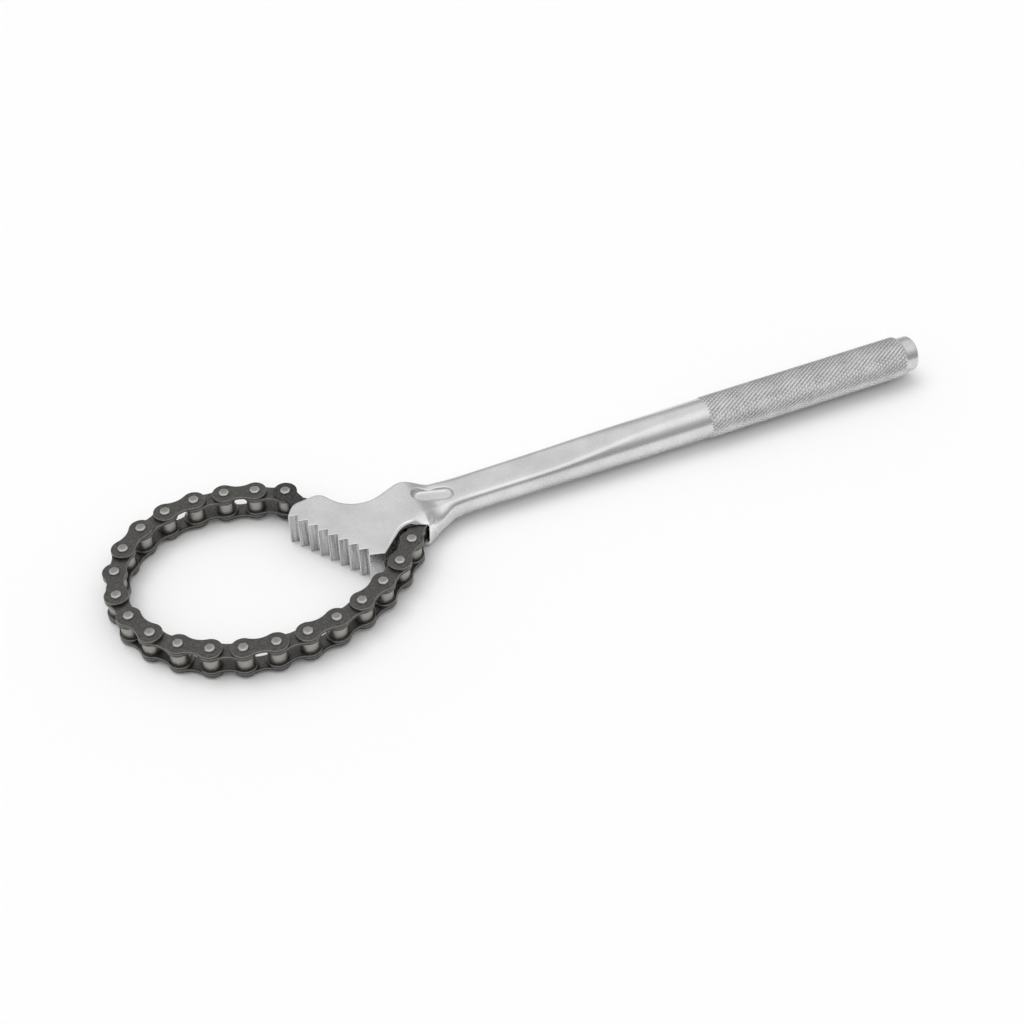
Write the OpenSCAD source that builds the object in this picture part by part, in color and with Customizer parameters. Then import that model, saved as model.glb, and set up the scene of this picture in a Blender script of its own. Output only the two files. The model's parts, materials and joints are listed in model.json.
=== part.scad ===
// Chain oil filter wrench: a one-piece forged handle with a toothed jaw and a hooked loop of roller chain.
// Millimetres. The origin is the centre of the handle's butt end face, +X points out of that end along the
// handle, +Z is up, and the chain lies flat around the filter with its pins upright.

/* [Handle] */
// Diameter of the knurled grip
grip_d = 18.9; // [17.6:0.1:21]
// Length of the knurled grip
grip_l = 101; // [84:1:112]
// Diameter of the plain butt end
butt_d = 16.2; // [13:0.1:16.4]
// Length of the plain butt end
butt_l = 7; // [5:0.5:10]
// Length of the shank, from the grip to the neck
shank_l = 129.5; // [115:0.5:150]
// Width of the shank at the neck
neck_w = 16; // [14.8:0.1:16.6]
// Height of the shank across its flats at the neck
neck_h = 10.2; // [9.6:0.1:10.8]
// Height of the shank across its flats where they start to run out
flat_h = 10.9; // [10.4:0.1:12]
// Length of the nearly level part of the flats, from the neck towards the grip
flat_l = 58; // [45:1:70]
// Length of the plain round shank between the grip and the flats
plain_l = 25; // [15:1:32]
// Step from the shank up to the grip
grip_step = 0.35; // [0.1:0.05:0.6]
// Bevel at the butt end of the grip
grip_bevel = 0.8; // [0.4:0.1:1.5]

/* [Head] */
// Distance from the neck to the toe corner, along the handle
head_l = 58; // [56:0.5:62]
// Distance of the toe corner from the handle axis
toe_off = 10.8; // [9.5:0.1:12]
// Distance of the rounded back of the toe from the handle axis
toe_back = 17.1; // [16.4:0.1:17.8]
// Distance of the hump behind the toe from the handle axis
hump_off = 18.5; // [17.9:0.1:20]
// Distance of the dip in the back of the head from the handle axis
dip_off = 2.3; // [1.5:0.1:4]
// Distance of the shoulder from the handle axis
shoulder_off = 11.3; // [10:0.1:13]
// Distance of the heel corner from the handle axis
heel_off = 24.7; // [24:0.1:25.6]
// Distance of the chain recess from the handle axis
recess_off = 13.3; // [13:0.1:14]
// Distance of the lip beside the recess from the handle axis
lip_off = 14.8; // [14.3:0.1:15.6]
// Thickness of the cheek over the hook link, above and below it
cheek_t = 1.5; // [1.2:0.1:2.5]
// Length of the oval dimple on the neck
dimple_l = 18; // [16:0.5:19]
// Depth of the oval dimple below the flats
dimple_depth = 1.1; // [0.6:0.1:1.6]
// Turn of the oval dimple away from the handle axis
dimple_turn = 16; // [0:1:20]

/* [Teeth] */
// Distance from one tooth to the next along the tooth line
tooth_pitch = 5.05; // [4.8:0.05:5.2]
// Turn of the tooth line away from the handle axis
tooth_line = 56.6; // [54:0.1:59]
// Turn of each broad tooth flank away from the handle axis
flank_turn = 11.8; // [6:0.1:18]
// Turn of each short tooth step away from the handle axis
step_turn = 107.8; // [100:0.1:115]

/* [Chain] */
// Distance between neighbouring pins
chain_pitch = 12.7; // [12.4:0.05:13]
// Diameter of a roller
roller_d = 7.8; // [7.2:0.05:8]
// Outer diameter of a bush
bush_d = 5.4; // [5:0.05:5.7]
// Diameter of a link pin
pin_d = 3.9; // [3.4:0.05:4]
// Width between the two plates of an inner link
inner_w = 6.3; // [5.5:0.1:7]
// Thickness of every link plate
plate_t = 1.3; // [1:0.05:1.5]
// Height of a link plate across its round ends
plate_h = 9.8; // [9:0.1:10]
// Height of a link plate at its waist
waist_h = 6.3; // [5.8:0.1:7]
// Height of a pin's riveted end above the outer plate
rivet_h = 0.95; // [0.5:0.05:1.2]

/* [Loop] */
// How much harder the chain bends at its tightest place
loop_bulge = 1.15; // [0.8:0.05:1.4]
// How far the tightest place lies towards the hooked end
loop_skew = 1.75; // [1.5:0.05:2]

/* [Hook link] */
// Length of the hook link, from its link pin to the hook pin
hook_l = 15.5; // [15:0.1:16.5]
// Direction of the hook link, from the hook pin to its link pin
hook_turn = 108.2; // [104:0.1:112]
// Diameter of the hook pin in the toe
hook_pin_d = 3.6; // [3.2:0.05:3.8]
// Thickness of the plain prong of the hook
prong_t = 1.6; // [1.2:0.05:1.8]
// Reach of the hooked prong past the hook pin
prong_reach = 5; // [4.5:0.1:5.5]
// Sideways step of the seat that the hook pin lies in under load
seat_step = 2.6; // [2.2:0.1:2.8]

/* [Fits] */
// Gap between a piece and the fixed pin or bush that fills its hole
fixed_gap = 0.02; // [0.01:0.005:0.03]
// Gap between a link pin and the bush that turns on it
pin_gap = 0.05; // [0.02:0.01:0.08]
// Gap between a bush and the roller that turns on it
roller_gap = 0.08; // [0.04:0.01:0.1]
// Gap between plates that slide over each other
side_gap = 0.1; // [0.05:0.01:0.2]
// Gap around a link where it lies in the head
slot_gap = 0.4; // [0.3:0.05:0.5]

/* [Hidden] */
$fn = 64;
inner_count = 11;
outer_count = 10;
roller_count = 2 * inner_count;
pitch_count = 2 * inner_count - 1;
tooth_count = 8;
arc_steps = 8;
solve_steps = 40;
over = 1;
far = 40;

function numbered(name, k) = str(name, k < 10 ? "_0" : "_", k);
function toward(turn) = [cos(turn), sin(turn)];
function unit(v) = v / norm(v);
function wrap(turn) = turn > 180 ? turn - 360 : (turn < -180 ? turn + 360 : turn);
function turned(v, turn) = [v.x * cos(turn) - v.y * sin(turn), v.x * sin(turn) + v.y * cos(turn)];

// Heights across the chain, from the rollers outwards
inner_over = inner_w + 2 * plate_t;
outer_gap = inner_over + 2 * side_gap;
outer_over = outer_gap + 2 * plate_t;
pin_l = outer_over + 2 * rivet_h;
heel_slot_h = inner_over + slot_gap;
toe_slot_h = outer_over + slot_gap;
head_t = toe_slot_h + 2 * cheek_t;
pin_cover = cheek_t / 2;

// Places along the handle, with the neck as the head's own origin
grip_end = -butt_l;
grip_start = grip_end - grip_l;
neck_x = grip_start - shank_l;
neck_run = 15;
ramp_start = -6.5;
ramp_end = 0;

// Places on the head, seen from above and measured from the neck
toe = [-head_l, toe_off];
tooth_end = toe + tooth_count * tooth_pitch * toward(-tooth_line);
hook_pin_at = toe + [9.3, 1.6];
heel_pin_at = [-8.9, 3.3 - recess_off];
pocket_r = plate_h / 2 + slot_gap;

// Tooth flank that with one short step spans one tooth pitch
flank_l = tooth_pitch * sin(step_turn - tooth_line) / sin(step_turn - flank_turn);

// The chain runs clockwise from the heel pin to the last link pin before the hook link
last_pin_at = hook_pin_at + hook_l * toward(hook_turn);
function bend_share(i) = 1 + loop_bulge * pow(sin(180 * pow(i / pitch_count, loop_skew)), 2);
bend_total = [for (i = [1:pitch_count - 1]) bend_share(i)] * [for (i = [1:pitch_count - 1]) 1];
function run_turns(bend) = [
    for (i = 0, turn = 0; i < pitch_count; i = i + 1, turn = turn - bend * bend_share(i)) turn
];
function run_pins(bend) = [
    for (
        i = 0, turn = 0, place = [0, 0];
        i <= pitch_count;
        place = place + chain_pitch * toward(turn), i = i + 1, turn = turn - bend * bend_share(i)
    ) place
];
function run_span(bend) = norm(run_pins(bend)[pitch_count]);
function solve_bend(low, high, span, steps) =
    let (mid = (low + high) / 2)
    steps == 0 ? mid
    : run_span(mid) > span ? solve_bend(mid, high, span, steps - 1)
    : solve_bend(low, mid, span, steps - 1);
run_reach = last_pin_at - heel_pin_at;
bend = solve_bend(0, 360 / bend_total, norm(run_reach), solve_steps);
free_end = run_pins(bend)[pitch_count];
swing = atan2(run_reach.y, run_reach.x) - atan2(free_end.y, free_end.x);
chain_pins = [for (place = run_pins(bend)) [neck_x, 0] + heel_pin_at + turned(place, swing)];
chain_turns = [for (turn = run_turns(bend)) turn + swing];

// Points of a rounded corner at b between its neighbours a and c
function rounded(a, b, c, r) =
    let (
        u = unit(a - b),
        v = unit(c - b),
        half = acos(u * v) / 2,
        centre = b + unit(u + v) * r / sin(half),
        from = b + u * r / tan(half) - centre,
        to = b + v * r / tan(half) - centre,
        start = atan2(from.y, from.x),
        sweep = wrap(atan2(to.y, to.x) - start)
    )
    [for (i = [0:arc_steps]) centre + r * toward(start + sweep * i / arc_steps)];

// Corners of the head from the tooth line's end round the heel, neck and back, each with its radius
head_corners = [
    [tooth_end, 0],
    [[-29.3, -heel_off], 1],
    [[-17, -recess_off], 7],
    [[-9, -recess_off], 2.4],
    [[-7.5, -lip_off], 1.2],
    [[9, -neck_w / 2], 16],
    [[neck_run, -neck_w / 2], 0],
    [[neck_run, neck_w / 2], 0],
    [[2.5, neck_w / 2], 8],
    [[-10, shoulder_off], 6],
    [[-31.6, dip_off], 15],
    [[-41.5, hump_off], 4.5],
    [[-54, toe_back], 5],
    [toe, 0]
];
corner_last = len(head_corners) - 1;
head_outline = concat(
    [
        for (i = [0:tooth_count - 1])
            let (tip = toe + i * tooth_pitch * toward(-tooth_line))
            each [tip, tip + flank_l * toward(-flank_turn)]
    ],
    [tooth_end],
    [
        for (i = [1:corner_last - 1])
            let (corner = head_corners[i])
            each corner[1] == 0 ? [corner[0]]
                : rounded(head_corners[i - 1][0], corner[0], head_corners[i + 1][0], corner[1])
    ]
);

// A body of revolution about the handle axis, from a profile of places along X and radii
module turned_bar(profile) {
    rotate([0, 90, 0])
        rotate_extrude()
            polygon([for (p = profile) [p.y, p.x]]);
}

// A slab across the whole width, from a profile of places along X and heights
module side_slab(profile) {
    rotate([90, 0, 0])
        linear_extrude(4 * far, center = true)
            polygon(profile);
}

module grip_and_butt() {
    turned_bar([
        [0, 0], [0, butt_d / 2], [grip_end, butt_d / 2], [grip_end, grip_d / 2 - grip_bevel],
        [grip_end - grip_bevel, grip_d / 2], [grip_start, grip_d / 2], [grip_start, 0]
    ]);
}

module shank() {
    flat_start = grip_start - plain_l;
    level_end = neck_x + flat_l;
    bar_end = neck_x + ramp_end;
    intersection() {
        turned_bar([
            [grip_start + over, 0], [grip_start + over, grip_d / 2 - grip_step],
            [grip_start, grip_d / 2 - grip_step], [bar_end, neck_w / 2], [bar_end, 0]
        ]);
        side_slab([
            [grip_start + over, grip_d], [flat_start, grip_d / 2], [level_end, flat_h / 2],
            [bar_end - over, neck_h / 2], [bar_end - over, -neck_h / 2], [level_end, -flat_h / 2],
            [flat_start, -grip_d / 2], [grip_start + over, -grip_d]
        ]);
    }
}

module head_blank() {
    translate([neck_x, 0, 0])
        intersection() {
            linear_extrude(head_t, center = true)
                polygon(head_outline);
            side_slab([
                [-2 * far, head_t / 2 + over], [ramp_start - over, head_t / 2 + over],
                [ramp_start, head_t / 2], [ramp_end, neck_h / 2 - 0.2], [ramp_end + far, -over],
                [ramp_end, -neck_h / 2 + 0.2], [ramp_start, -head_t / 2],
                [ramp_start - over, -head_t / 2 - over], [-2 * far, -head_t / 2 - over]
            ]);
        }
}

// Slot in the heel for the last inner link, wide enough for its swing
module heel_slot() {
    swing_from = 226;
    swing_to = 254;
    linear_extrude(heel_slot_h, center = true)
        translate([neck_x, 0] + heel_pin_at) {
            circle(pocket_r);
            polygon([
                pocket_r * toward(swing_from - 90),
                pocket_r * toward(swing_from - 90) + far * toward(swing_from),
                pocket_r * toward(swing_to + 90) + far * toward(swing_to),
                pocket_r * toward(swing_to + 90)
            ]);
        }
}

// Slot in the back of the toe for the hook link, drawn along the link from the hook pin
module toe_slot() {
    plain_side = hook_pin_d / 2 + slot_gap + prong_t + slot_gap;
    hook_side = seat_step + hook_pin_d / 2 + slot_gap + prong_t + slot_gap;
    deep = prong_reach + slot_gap;
    linear_extrude(toe_slot_h, center = true)
        translate([neck_x, 0] + hook_pin_at)
            rotate(hook_turn + 180)
                polygon([
                    [0, -plain_side],
                    [hook_pin_d / 2 + slot_gap, -plain_side],
                    [deep, -slot_gap],
                    [deep, hook_side],
                    [deep, hook_side] + far * toward(152),
                    [-far, 0],
                    [0, -plain_side] + far * toward(210)
                ]);
}

// Oval dimple on the neck, the same above and below
module dimples() {
    ball_r = 4;
    run = dimple_l / 2 - ball_r;
    for (side = [0, 1])
        mirror([0, 0, side])
            translate([neck_x + 2, 0, neck_h / 2 - dimple_depth + ball_r])
                rotate([0, 0, -dimple_turn]) {
                    rotate([0, 90, 0])
                        cylinder(r = ball_r, h = 2 * run, center = true);
                    for (end = [-run, run])
                        translate([end, 0, 0])
                            sphere(ball_r);
                }
}

// Blind hole for a pin that is driven in from below and stops inside the upper cheek
module pin_hole(place, d) {
    translate([neck_x + place.x, place.y, -head_t / 2 - over])
        cylinder(d = d + 2 * fixed_gap, h = head_t - pin_cover + over);
}

// Pin that fills such a hole
module driven_pin(place, d) {
    translate([neck_x + place.x, place.y, -head_t / 2])
        cylinder(d = d, h = head_t - pin_cover - fixed_gap);
}

module handle() {
    color("gainsboro")
        difference() {
            union() {
                grip_and_butt();
                shank();
                head_blank();
            }
            heel_slot();
            toe_slot();
            dimples();
            pin_hole(heel_pin_at, pin_d);
            pin_hole(hook_pin_at, hook_pin_d);
        }
}

module anchor_pin() {
    color("silver")
        driven_pin(heel_pin_at, pin_d);
}

module hook_pin() {
    color("silver")
        driven_pin(hook_pin_at, hook_pin_d);
}

// Waisted plate outline from one pin at the origin to the next along X
module plate_outline() {
    end_r = plate_h / 2;
    half = chain_pitch / 2;
    waist = waist_h / 2;
    cut_r = 1.08 * (pow(half, 2) + pow(waist, 2) - pow(end_r, 2)) / (2 * (end_r - waist));
    cut_y = waist + cut_r;
    mid = half - end_r * half / norm([half, cut_y]);
    difference() {
        union() {
            circle(end_r);
            translate([chain_pitch, 0])
                circle(end_r);
            translate([half, 0])
                square([2 * mid, 2 * cut_y], center = true);
        }
        for (side = [-1, 1])
            translate([half, side * cut_y])
                circle(cut_r);
    }
}

// Two plates one above the other, their inner faces a given gap apart, with a hole at each pin
module plate_pair(gap, hole_d) {
    for (low = [gap / 2, -gap / 2 - plate_t])
        translate([0, 0, low])
            linear_extrude(plate_t)
                difference() {
                    plate_outline();
                    for (x = [0, chain_pitch])
                        translate([x, 0])
                            circle(d = hole_d);
                }
}

// Puts a piece at a pin of the chain, turned along the link that starts there
module at_link(i) {
    translate([chain_pins[i].x, chain_pins[i].y, 0])
        rotate(chain_turns[i])
            children();
}

// Round pin with riveted ends
module rivet_pin() {
    edge = rivet_h / 2;
    rotate_extrude()
        polygon([
            [0, -pin_l / 2], [pin_d / 2 - edge, -pin_l / 2], [pin_d / 2, edge - pin_l / 2],
            [pin_d / 2, pin_l / 2 - edge], [pin_d / 2 - edge, pin_l / 2], [0, pin_l / 2]
        ]);
}

module tube(outer_d, bore_d, h) {
    difference() {
        cylinder(d = outer_d, h = h, center = true);
        cylinder(d = bore_d, h = h + over, center = true);
    }
}

module inner_link(k) {
    color("dimgray")
        at_link(2 * k - 2) {
            plate_pair(inner_w, bush_d + 2 * fixed_gap);
            for (x = [0, chain_pitch])
                translate([x, 0, 0])
                    tube(bush_d, pin_d + 2 * pin_gap, inner_over);
        }
}

module outer_link(k) {
    color("dimgray")
        at_link(2 * k - 1)
            plate_pair(outer_gap, pin_d + 2 * fixed_gap);
}

module link_pins(k) {
    color("darkgray")
        at_link(2 * k - 1)
            for (x = [0, chain_pitch])
                translate([x, 0, 0])
                    rivet_pin();
}

module roller(k) {
    color("gray")
        translate([chain_pins[k - 1].x, chain_pins[k - 1].y, 0])
            tube(roller_d, bush_d + 2 * roller_gap, inner_w - 2 * side_gap);
}

// Forked plate of the hook link, with an open channel for the hook pin and a seat beside it
module hook_outline() {
    end_r = plate_h / 2;
    channel = hook_pin_d / 2 + slot_gap;
    plain_side = channel + prong_t;
    hook_side = seat_step + channel + prong_t;
    neck_half = waist_h / 2;
    difference() {
        union() {
            circle(end_r);
            translate([0, -neck_half])
                square([hook_l, 2 * neck_half]);
            polygon([
                [hook_l / 2 + 0.5, -neck_half], [hook_l / 2 + 2.5, -plain_side],
                [hook_l + hook_pin_d / 2, -plain_side], [hook_l + prong_reach, -channel / 2],
                [hook_l + prong_reach, hook_side - 1], [hook_l + prong_reach - 1, hook_side],
                [hook_l - channel, hook_side], [hook_l / 2 + 0.5, neck_half]
            ]);
        }
        translate([hook_l, 0]) {
            circle(channel);
            translate([0, -channel])
                square([prong_reach + over, 2 * channel]);
            translate([-0.6, seat_step])
                circle(channel);
            translate([-0.6 - channel, 0])
                square([2 * channel, seat_step]);
        }
    }
}

module hook_link() {
    color("dimgray")
        translate([neck_x, 0, 0] + [last_pin_at.x, last_pin_at.y, 0])
            rotate(hook_turn + 180)
                for (low = [outer_gap / 2, -outer_gap / 2 - plate_t])
                    translate([0, 0, low])
                        linear_extrude(plate_t)
                            difference() {
                                hook_outline();
                                circle(d = pin_d + 2 * fixed_gap);
                            }
}

module hook_link_pin() {
    color("darkgray")
        translate([neck_x, 0, 0] + [last_pin_at.x, last_pin_at.y, 0])
            rivet_pin();
}

handle();
anchor_pin();
hook_pin();
hook_link();
hook_link_pin();
for (k = [1:inner_count]) inner_link(k);
for (k = [1:outer_count]) outer_link(k);
for (k = [1:outer_count]) link_pins(k);
for (k = [1:roller_count]) roller(k);
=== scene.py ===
"""Looks of the chain oil filter wrench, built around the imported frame.

The head, neck and shank of the forged handle get one smooth skin, meshed from a distance field, and the
grip carries a real diamond knurl. The plates, pins and rollers of the chain get rounded edges. Shapes are
worked out in millimetres, in the frame's own axes, and turned into metres when a mesh is made.
"""
import json
import math

import bpy
import numpy as np
from mathutils import Matrix, Vector
from mathutils.geometry import tessellate_polygon


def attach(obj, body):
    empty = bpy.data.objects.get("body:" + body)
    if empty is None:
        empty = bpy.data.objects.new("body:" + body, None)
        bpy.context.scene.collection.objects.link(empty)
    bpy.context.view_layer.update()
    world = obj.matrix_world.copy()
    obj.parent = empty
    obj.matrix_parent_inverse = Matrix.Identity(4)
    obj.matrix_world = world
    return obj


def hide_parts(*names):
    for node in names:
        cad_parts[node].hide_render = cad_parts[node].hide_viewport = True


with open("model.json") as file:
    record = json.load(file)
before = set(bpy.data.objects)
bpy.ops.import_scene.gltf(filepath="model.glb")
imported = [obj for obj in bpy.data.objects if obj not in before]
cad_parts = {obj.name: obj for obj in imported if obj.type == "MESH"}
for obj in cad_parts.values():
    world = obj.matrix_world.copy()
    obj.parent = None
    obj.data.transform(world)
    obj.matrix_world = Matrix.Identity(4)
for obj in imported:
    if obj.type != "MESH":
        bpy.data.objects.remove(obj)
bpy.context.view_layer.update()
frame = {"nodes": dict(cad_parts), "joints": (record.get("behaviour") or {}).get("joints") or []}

# A millimetre in metres, and the radius in millimetres that stands for a point on an axis
MM = 0.001
AXIS = 0.001

# Handle sizes
BUTT_R = 8.1
BUTT_ROOT = [(0.2, 0.03), (0.5, 0.0)]
BUTT_RINGS = (-4.0, -2.5)
BUTT_CORNER = 1.3
BUTT_CORNER_POINTS = 7
BUTT_FACE_RING = 3.0
GRIP_R = 9.45
GRIP_END = -7.0
GRIP_START = -108.0
GRIP_RISE = 1.0
GRIP_BEVEL = 0.8
NECK_X = -237.5
NECK_R = 8.0
NECK_TOP = 5.1
NECK_BLEND = 2.0
SHANK_R = 9.1
SHANK_START = 2.0
SHANK_START_BLEND = 4.0
FLAT_PLACES = [NECK_X, -179.5, -133.0, -121.0]
FLAT_HEIGHTS = [NECK_TOP, 5.45, 9.45, 10.5]
FLAT_SHIFTS = (-9, -3, 3, 9)
FLAT_BLEND = 1.6

# Knurl: its wander is a product of waves, each with its turns, drift per row and phase,
# and its two hands of grooves each have a way, a strength, a steady share and a wandering share
KNURL_STARTS = 34
KNURL_STEPS = 10
KNURL_COLUMNS = KNURL_STARTS * KNURL_STEPS
KNURL_RISE = 2.9
KNURL_DEPTH = 0.5
KNURL_FLAT = 0.15
KNURL_WANDER = [(5, 0.05, 0), (3, -0.083, 1), (2, 0.031, 0)]
KNURL_HANDS = [(-1, 0.5, 0.7, 0.6), (1, 1.0, 0.9, 0.15)]
KNURL_LEAD = 0.3
KNURL_RUN_IN = 0.6
KNURL_TRAIL = 0.1
KNURL_RUN_OUT = 1.4

# Head sizes, with places measured from the neck
HEAD_TOP = 7.55
TOE = np.array([-58.0, 10.8])
TOOTH_COUNT = 8
TOOTH_PITCH = 5.05
TOOTH_LINE = -56.6
FLANK_TURN = -11.8
STEP_TURN = -107.8
HEEL_PIN = np.array([-8.9, -10.0])
HOOK_PIN = TOE + [9.3, 1.6]
HOOK_TURN = 108.2
HEAD_CORNERS = [
    ((-29.3, -24.7), 1.0), ((-15.5, -11.0), 8.0), ((-6.6, -15.7), 1.8), ((9.0, -8.0), 16.0),
    ((30.0, -4.0), 0.0), ((30.0, 4.0), 0.0), ((2.5, 8.0), 8.0),
    ((-10.0, 11.3), 6.0), ((-31.6, 2.3), 15.0), ((-41.5, 18.5), 4.5), ((-54.0, 17.1), 5.0),
]
RAMP = (-8.0, 2.0)
PLATE_SUNK = 0.1
RUN_OUT = (4.0, 28.0)
RUN_OUT_DROP = 1.5
DIMPLE_AT = np.array([1.6, 0.2])
DIMPLE_TURN = -16.0
DIMPLE_HALF = 5.0
DIMPLE_R = 3.1
DIMPLE_DEPTH = 1.1
DIMPLE_LEAN = 0.35
DIMPLE_FLOOR_BLEND = 1.5
DIMPLE_RIM_BLEND = 0.45

# Slots and pin holes in the head
SLOT_FAR = 40
POCKET_R = 5.0
HEEL_SLOT_TOP = 4.65
HEEL_SWING = (229, 243)
HEEL_WAIST_SIDE = 4.2
HEEL_CEILING_BLEND = 1.2
HEEL_RIM_BLEND = 0.6
TOE_SLOT_TOP = 6.05
TOE_PLAIN_SIDE = 4.2
TOE_HOOK_SIDE = 6.8
TOE_DEEP = 5.4
TOE_SLANT = (2.2, -0.4)
TOE_MOUTH = (152, 210)
TOE_RIM_BLEND = 0.25
ANCHOR_TOP = 4.9
ANCHOR_R = 1.95
ANCHOR_BEVEL = 0.5
HOOK_HOLE_TOP = 6.8
HOOK_HOLE_R = 1.82

# Edges of the head: radii, what each place adds or takes away, and the bands over which the places begin
TOOTH_EDGE = 0.25
PLAIN_EDGE = 0.9
RECESS_ROUNDER = 0.7
NECK_EDGE = 3.0
NECK_BELOW_SHARPER = 1.0
LIP_BROADER = 3.7
LIP_LOWER = 0.4
LIP_FLATTER = 0.75
FLARE_HIGHER = 1.6
EDGE_HEIGHT = 3.4
ROUND_POWER = 2
HEEL_SIDE = (-2.0, -8.0)
UPPER_HALF = (-1.0, 1.0)
TOOTH_BAND = (1.5, 7.0)
RECESS_BAND = (-28.0, -20.0)
LIP_BAND = (-14.0, -7.0)
LIP_END = (9.0, -5.0)
FLARE_BAND = (-6.0, -1.0)
NECK_BAND = (-6.0, 7.0)

# Grid of the skin, whose steps grow towards the grip
SKIN_START = -296.6
FINE_END = -222.0
MIDDLE_END = -200.0
SKIN_END = -119.0
FINE_STEP = 0.35
MIDDLE_STEP = 0.5
COARSE_STEP = 1.0
SKIN_Y = (-26.2, 20.2)
SKIN_Z = (-9.45, 9.5)
SETTLE_ROUNDS = 2
SETTLE_LIMIT = 0.3
LEAST_SLOPE = 0.2
LEAST_LENGTH = 0.01
TUCKED_RINGS = 3
TUCK = 0.05
PLAIN_RINGS = 14

# Wear, a painted highlight along the upper rim over the heel's slot, and dulling of the handle: amounts, and
# the bands over which they begin or end
WEAR_REACH = 0.5
WEAR_GAIN = 1.6
RIM_HIGHLIGHT_START = (-30.0, -25.0)
RIM_HIGHLIGHT_END = (-9.0, -16.0)
RIM_HIGHLIGHT_SIDE = (-4.0, -8.0)
RIM_HIGHLIGHT_UPPER_LEAN = (0.97, 0.88)
RIM_HIGHLIGHT_LOWER_LEAN = (0.3, 0.5)
MILLED_DEPTH = (7.0, 4.5)
MILLED_LEAN = (0.75, 0.45)
MILLED_PAST = 0.6
MILLED_SHORT = 0.2
MILLED_LESS_WEAR = 0.6
CREST_WEAR = 0.7
CREST_SHARE = 4
GRIP_GRIME = 0.2
# Knurl grooves are made darker in proportion to their depth
GROOVE_DARKENING = 0.8
BUTT_GRIME = 0.15
CORNER_WEAR = 0.6
CORNER_WEAR_END = 0.05

# Chain sizes, with gaps in place of press fits
SNUG = 0.02
LINK_JOINTS = 21
INNER_LINKS = 11
OUTER_LINKS = 10
ROLLERS = 22
PITCH = 12.7
LINK_ENDS = (0.0, PITCH)
PLATE_R = 4.9
WAIST = 3.4
PLATE_T = 1.3
PLATE_EDGE = 0.2
PLATE_EDGE_STEPS = 4
PLATE_END_POINTS = 30
PLATE_WAIST_POINTS = 14
# Plate edges are brightened by edge wear together with a painted highlight
PLATE_BRIGHT_EDGE_SHARE = 0.4
PLATE_EDGE_WEAR_AND_HIGHLIGHT = 1.0
PLATE_FACE_WEAR = 0.15
INNER_GAP = 6.3
OUTER_GAP = 9.1
PIN_R = 1.95
PIN_HALF = 6.8
PIN_PLAY = 3 * SNUG
RIVET_SIDES = 6
RIVET_SWELL = 0.025
RIVET_END = [(AXIS, 0.0), (0.8, 0.0), (1.45, 0.03), (1.75, 0.16), (1.98, 0.42), (2.1, 0.7), (2.1, 0.92)]
RIVET_WEAR = [0, 0, 0.2, 0.8, 0.9, 0.5, 0, 0]
ANCHOR_WEAR = [0.2, 0.6, 0.6, 0, 0]
BUSH_R = 2.7
BUSH_BORE = 2.0
BUSH_EDGE = 0.15
ROLLER_R = 3.9
ROLLER_BORE = 2.78
ROLLER_HALF = 3.05
ROLLER_EDGE = 0.35
TUBE_EDGE_SHARE = 0.3
TUBE_WEAR = [0, 0.3, 1, 0.3, 0.3, 1, 0.3, 0]

# Angles in degrees up to which faces are shaded as one, and from which edges get a bevel
SMOOTH_ALL = 180
SHARP_ANGLE = 35
BEVEL_ANGLE = 40
BEVEL_SEGMENTS = 2

# Metal: stops of noise value and grey, and the size of what the noises make
SPOTS = [(0.35, 0), (0.7, 1)]
PATCHES = [(0.3, 0.86), (0.7, 1)]
PATCH_SIZE = 16
STREAKS = [(0.35, 0.4), (0.65, 0.82)]
STREAK_STRETCH = (1, 1, 0.05)
SHEEN_BAND = (0.2, 0.8)
SHEEN_CHANGE = 0.06
DENT_DEPTH = 0.1

# Numbers of the mix node's sockets for colours
MIX_A = 6
MIX_B = 7
MIX_RESULT = 2

# Camera and studio, in metres, with sky and wall as stops of a direction's height or depth and grey
SENSOR = 36
PICTURE_PIXELS = 1024
FOCAL_PIXELS = 1700
CAMERA_AT = Vector((-0.41578, -0.47078, 0.49810))
CAMERA_WAY = Vector((0.29464, 0.64280, -0.70711))
CLIP_START = 0.01
FLOOR_HALF = 20.0
FLOOR_SLOPE = 0.0100
FLOOR_AT = (GRIP_START * MM, 0, -GRIP_R * MM)
PAPER = [(0.0, 0.935), (1.0, 0.945)]
KEY_WAY = Vector((0.2, -0.32, -1.0))
KEY_SPREAD = 38
KEY_POWER = 0.9
SKY = [
    (-0.2, 0.9), (0.0, 0.72), (0.06, 0.5), (0.36, 0.5),
    (0.54, 0.66), (0.7, 0.93), (0.9, 0.87), (1.0, 0.86),
]
WALL = [(-0.9, 0.75), (-0.57, 0.88), (-0.3, 1.0)]
BOX_WAY = (0.15, -0.3, 0.94)
BOX = [(0.86, 0.0), (0.97, 0.3)]


def smooth_step(low, high, x):
    """Goes smoothly from 0 at low to 1 at high."""
    t = np.clip((x - low) / (high - low), 0, 1)
    return t * t * (3 - 2 * t)


def smooth_max(a, b, reach):
    """The larger of two distances, with the edge between them rounded over reach."""
    share = np.clip(0.5 + (a - b) / (2 * reach), 0, 1)
    return a * share + b * (1 - share) + reach * share * (1 - share)


def toward(turn):
    """Unit vector at an angle in degrees."""
    return np.array([math.cos(math.radians(turn)), math.sin(math.radians(turn))])


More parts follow.
